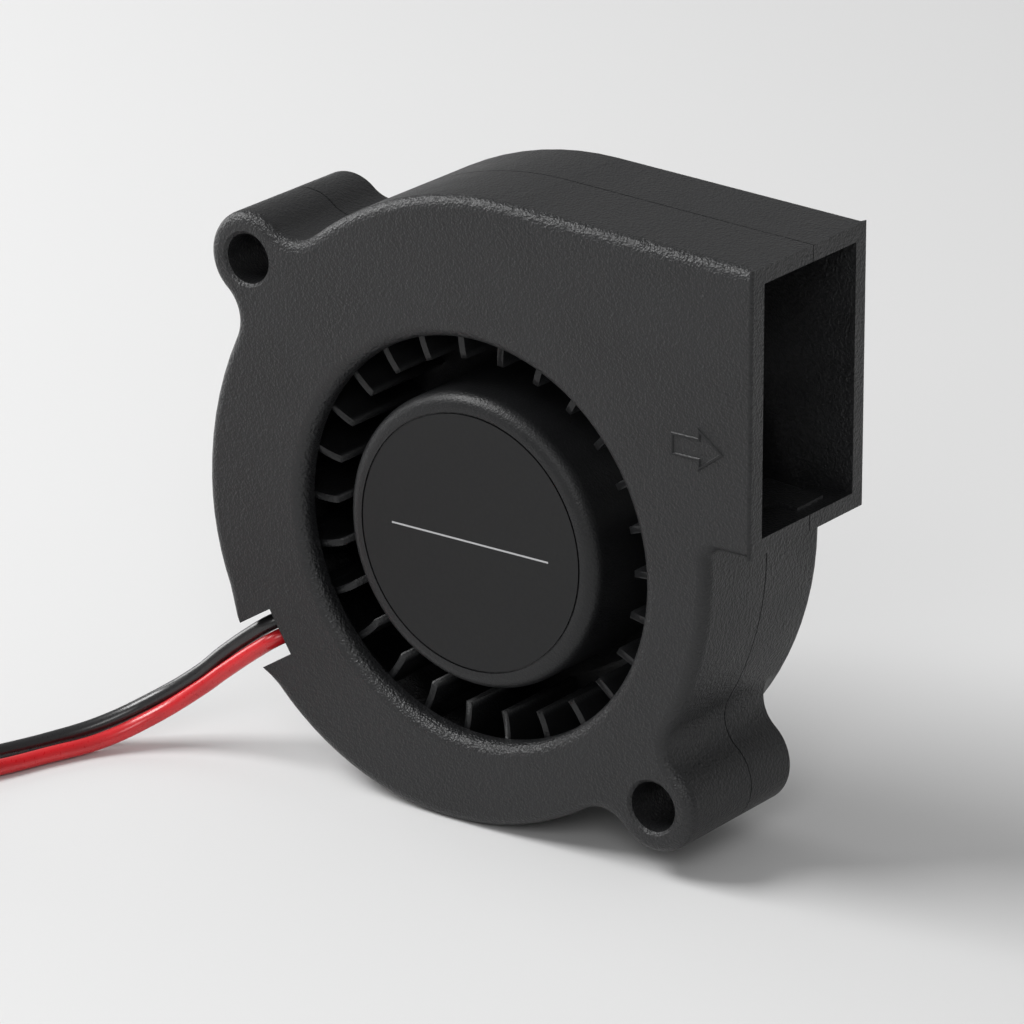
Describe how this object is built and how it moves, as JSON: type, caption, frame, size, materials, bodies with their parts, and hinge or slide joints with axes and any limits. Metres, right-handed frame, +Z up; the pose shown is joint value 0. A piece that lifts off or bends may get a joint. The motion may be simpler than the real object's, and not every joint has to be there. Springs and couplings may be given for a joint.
{
  "type": "dc blower fan",
  "caption": "Compact radial DC blower: scroll housing with a side outlet, two screw ears, a hub-motor impeller behind a round inlet, and two leads to a small connector.",
  "frame": {"origin": "centre of the fan's bounding box at its base, leads left out", "axes": "+X out of the outlet, +Y out of the rear face, +Z up; the inlet faces -Y"},
  "size_m": [0.0869, 0.0487, 0.0508],
  "materials": {
    "housing": "satin",
    "impeller": "satin",
    "label": "matte",
    "zinc_steel": "satin",
    "magnet": "matte",
    "steel": "polished",
    "nylon": "satin",
    "bronze": "matte",
    "brass": "satin",
    "lamination": "satin",
    "board": "satin",
    "chip": "matte",
    "ceramic": "matte",
    "tin": "satin",
    "red_pvc": "gloss",
    "black_pvc": "gloss",
    "tie": "satin",
    "connector": "satin",
    "copper": "gloss"
  },
  "bodies": {
    "housing": {"front_shell": "housing", "rear_shell": "housing", "thrust_pad": "nylon", "sleeve_bearing": "bronze", "bearing_tube": "brass", "stator_core": "lamination", "front_insulator": "nylon", "rear_insulator": "nylon", "winding_1": "copper", "winding_2": "copper", "winding_3": "copper", "winding_4": "copper", "circuit_board": "board", "driver_chip": "chip", "board_capacitor": "ceramic", "solder_joints": "tin", "lead_red": "red_pvc", "lead_black": "black_pvc", "lead_coil": "red_pvc", "coil_tie": "tie", "red_tail": "red_pvc", "black_tail": "black_pvc", "connector_housing": "connector", "connector_contacts": "tin"},
    "rotor": {"impeller": "impeller", "hub_label": "label", "rotor_yoke": "zinc_steel", "magnet_ring": "magnet", "shaft": "steel", "oil_slinger": "nylon", "retaining_clip": "nylon"}
  },
  "joints": [
    {"name": "rotor_spin", "type": "hinge", "parent": "housing", "child": "rotor", "pos_m": [-0.00015, 0, 0.0233], "axis": [0, 1, 0], "continuous": true}
  ]
}
